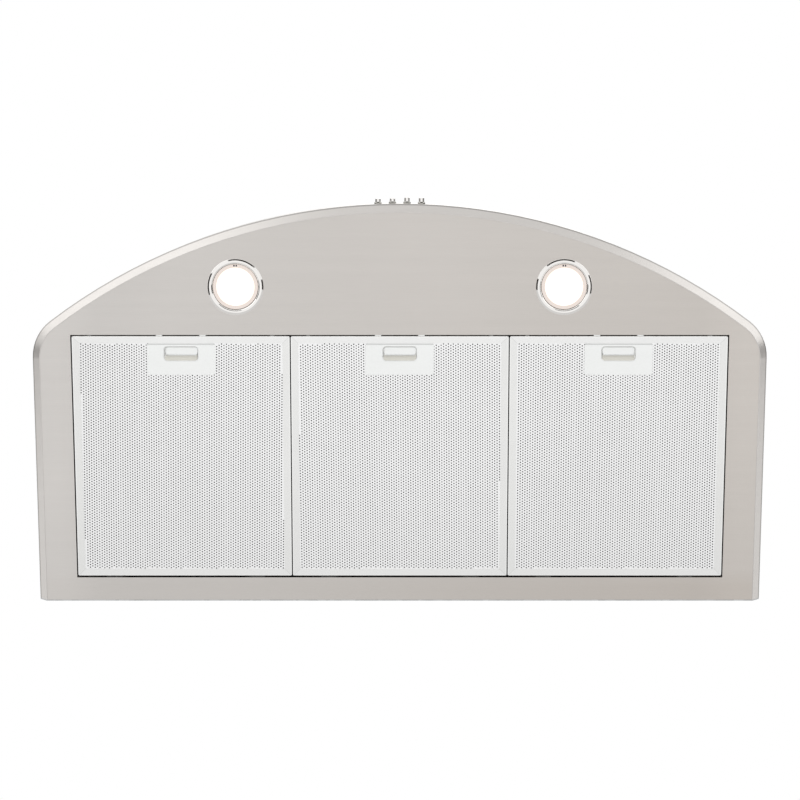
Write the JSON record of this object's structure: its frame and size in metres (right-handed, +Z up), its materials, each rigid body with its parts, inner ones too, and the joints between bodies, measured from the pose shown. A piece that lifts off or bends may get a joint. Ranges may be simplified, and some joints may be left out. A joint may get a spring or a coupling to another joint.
{
  "type": "pyramid range hood",
  "caption": "Wall range hood with a bow-fronted pyramid canopy, hinged grease filters with pull latches, round lamps, chrome push buttons, a ducted blower and a telescoping chimney.",
  "frame": {"origin": "on the wall plane, midway between the sides, at the level of the flat underside", "axes": "+X to the right seen from the front, +Y into the wall, +Z up; the bowed front faces -Y"},
  "size_m": [0.9, 0.4993, 0.6938],
  "materials": {
    "canopy_steel": "fine brushed stainless sheet, satin",
    "galvanised_steel": "galvanised sheet with a faint spangle",
    "zinc_steel": "bright zinc plating",
    "filter_aluminium": "satin aluminium",
    "perforated_aluminium": "satin aluminium sheet with small round holes",
    "latch_aluminium": "smooth pale anodised aluminium",
    "chrome": "polished plating",
    "lamp_glass": "lit, warm white, lightly frosted",
    "black_plastic": "matte moulded plastic",
    "motor_paint": "satin black paint",
    "white_plastic": "smooth moulded case"
  },
  "bodies": {
    "canopy": {"canopy_top": "canopy_steel", "canopy_band": "canopy_steel", "back_plate": "galvanised_steel", "bottom_panel": "canopy_steel", "lamp_bezel_left": "chrome", "lamp_bezel_right": "chrome", "lamp_clips_left": "chrome", "lamp_clips_right": "chrome", "lamp_bulb_left": "lamp_glass", "lamp_bulb_right": "lamp_glass", "lamp_can_left": "galvanised_steel", "lamp_can_right": "galvanised_steel", "button_collars": "chrome", "switch_block": "black_plastic", "switch_bracket": "galvanised_steel", "control_box": "black_plastic", "control_box_lid": "black_plastic", "cable_gland": "black_plastic", "lamp_transformer": "black_plastic", "blower_box": "galvanised_steel", "scroll_housing": "galvanised_steel", "inlet_ring_left": "galvanised_steel", "inlet_ring_right": "galvanised_steel", "motor": "motor_paint", "motor_bracket": "galvanised_steel", "capacitor": "white_plastic", "duct_collar": "black_plastic", "damper_pins": "zinc_steel", "lower_chimney": "canopy_steel", "blower_screws": "chrome"},
    "filter_left": {"filter_frame_left": "filter_aluminium", "filter_mesh_left": "perforated_aluminium", "filter_core_left": "filter_aluminium", "latch_plate_left": "latch_aluminium", "latch_spring_left": "zinc_steel"},
    "filter_middle": {"filter_frame_middle": "filter_aluminium", "filter_mesh_middle": "perforated_aluminium", "filter_core_middle": "filter_aluminium", "latch_plate_middle": "latch_aluminium", "latch_spring_middle": "zinc_steel"},
    "filter_right": {"filter_frame_right": "filter_aluminium", "filter_mesh_right": "perforated_aluminium", "filter_core_right": "filter_aluminium", "latch_plate_right": "latch_aluminium", "latch_spring_right": "zinc_steel"},
    "latch_left": {"latch_slider_left": "latch_aluminium"},
    "latch_middle": {"latch_slider_middle": "latch_aluminium"},
    "latch_right": {"latch_slider_right": "latch_aluminium"},
    "push_button_1": {"button_1": "chrome"},
    "push_button_2": {"button_2": "chrome"},
    "push_button_3": {"button_3": "chrome"},
    "push_button_4": {"button_4": "chrome"},
    "fan": {"fan_wheel": "filter_aluminium", "fan_shaft": "zinc_steel"},
    "flap_front": {"damper_flap_front": "black_plastic"},
    "flap_rear": {"damper_flap_rear": "black_plastic"},
    "upper_cover": {"upper_chimney": "canopy_steel", "chimney_bracket": "galvanised_steel", "chimney_screws": "chrome"}
  },
  "joints": [
    {"name": "filter_left_swing", "type": "hinge", "parent": "canopy", "child": "filter_left", "pos_m": [-0.2672, -0.0298, 0.0011], "axis": [1, 0, 0], "range_deg": [0, 70]},
    {"name": "filter_middle_swing", "type": "hinge", "parent": "canopy", "child": "filter_middle", "pos_m": [0, -0.0298, 0.0011], "axis": [1, 0, 0], "range_deg": [0, 70]},
    {"name": "filter_right_swing", "type": "hinge", "parent": "canopy", "child": "filter_right", "pos_m": [0.2672, -0.0298, 0.0011], "axis": [1, 0, 0], "range_deg": [0, 70]},
    {"name": "latch_left_pull", "type": "slide", "parent": "filter_left", "child": "latch_left", "axis": [0, 1, 0], "range_m": [0, 0.006], "stiffness_N_per_m": 300, "springref_m": -0.004, "deforming": ["latch_spring_left"]},
    {"name": "latch_middle_pull", "type": "slide", "parent": "filter_middle", "child": "latch_middle", "axis": [0, 1, 0], "range_m": [0, 0.006], "stiffness_N_per_m": 300, "springref_m": -0.004, "deforming": ["latch_spring_middle"]},
    {"name": "latch_right_pull", "type": "slide", "parent": "filter_right", "child": "latch_right", "axis": [0, 1, 0], "range_m": [0, 0.006], "stiffness_N_per_m": 300, "springref_m": -0.004, "deforming": ["latch_spring_right"]},
    {"name": "button_1_press", "type": "slide", "parent": "canopy", "child": "push_button_1", "axis": [0, 1, 0], "range_m": [0, 0.003], "stiffness_N_per_m": 400, "springref_m": -0.002},
    {"name": "button_2_press", "type": "slide", "parent": "canopy", "child": "push_button_2", "axis": [0, 1, 0], "range_m": [0, 0.003], "stiffness_N_per_m": 400, "springref_m": -0.002},
    {"name": "button_3_press", "type": "slide", "parent": "canopy", "child": "push_button_3", "axis": [0, 1, 0], "range_m": [0, 0.003], "stiffness_N_per_m": 400, "springref_m": -0.002},
    {"name": "button_4_press", "type": "slide", "parent": "canopy", "child": "push_button_4", "axis": [0, 1, 0], "range_m": [0, 0.003], "stiffness_N_per_m": 400, "springref_m": -0.002},
    {"name": "fan_spin", "type": "hinge", "parent": "canopy", "child": "fan", "pos_m": [0, -0.1, 0.378], "axis": [1, 0, 0], "continuous": true},
    {"name": "flap_front_swing", "type": "hinge", "parent": "canopy", "child": "flap_front", "pos_m": [0, -0.158, 0.4999], "axis": [-1, 0, 0], "range_deg": [0, 80]},
    {"name": "flap_rear_swing", "type": "hinge", "parent": "canopy", "child": "flap_rear", "pos_m": [0, -0.152, 0.4999], "axis": [1, 0, 0], "range_deg": [0, 80]},
    {"name": "upper_cover_slide", "type": "slide", "parent": "canopy", "child": "upper_cover", "axis": [0, 0, 1], "range_m": [0, 0.34]}
  ]
}
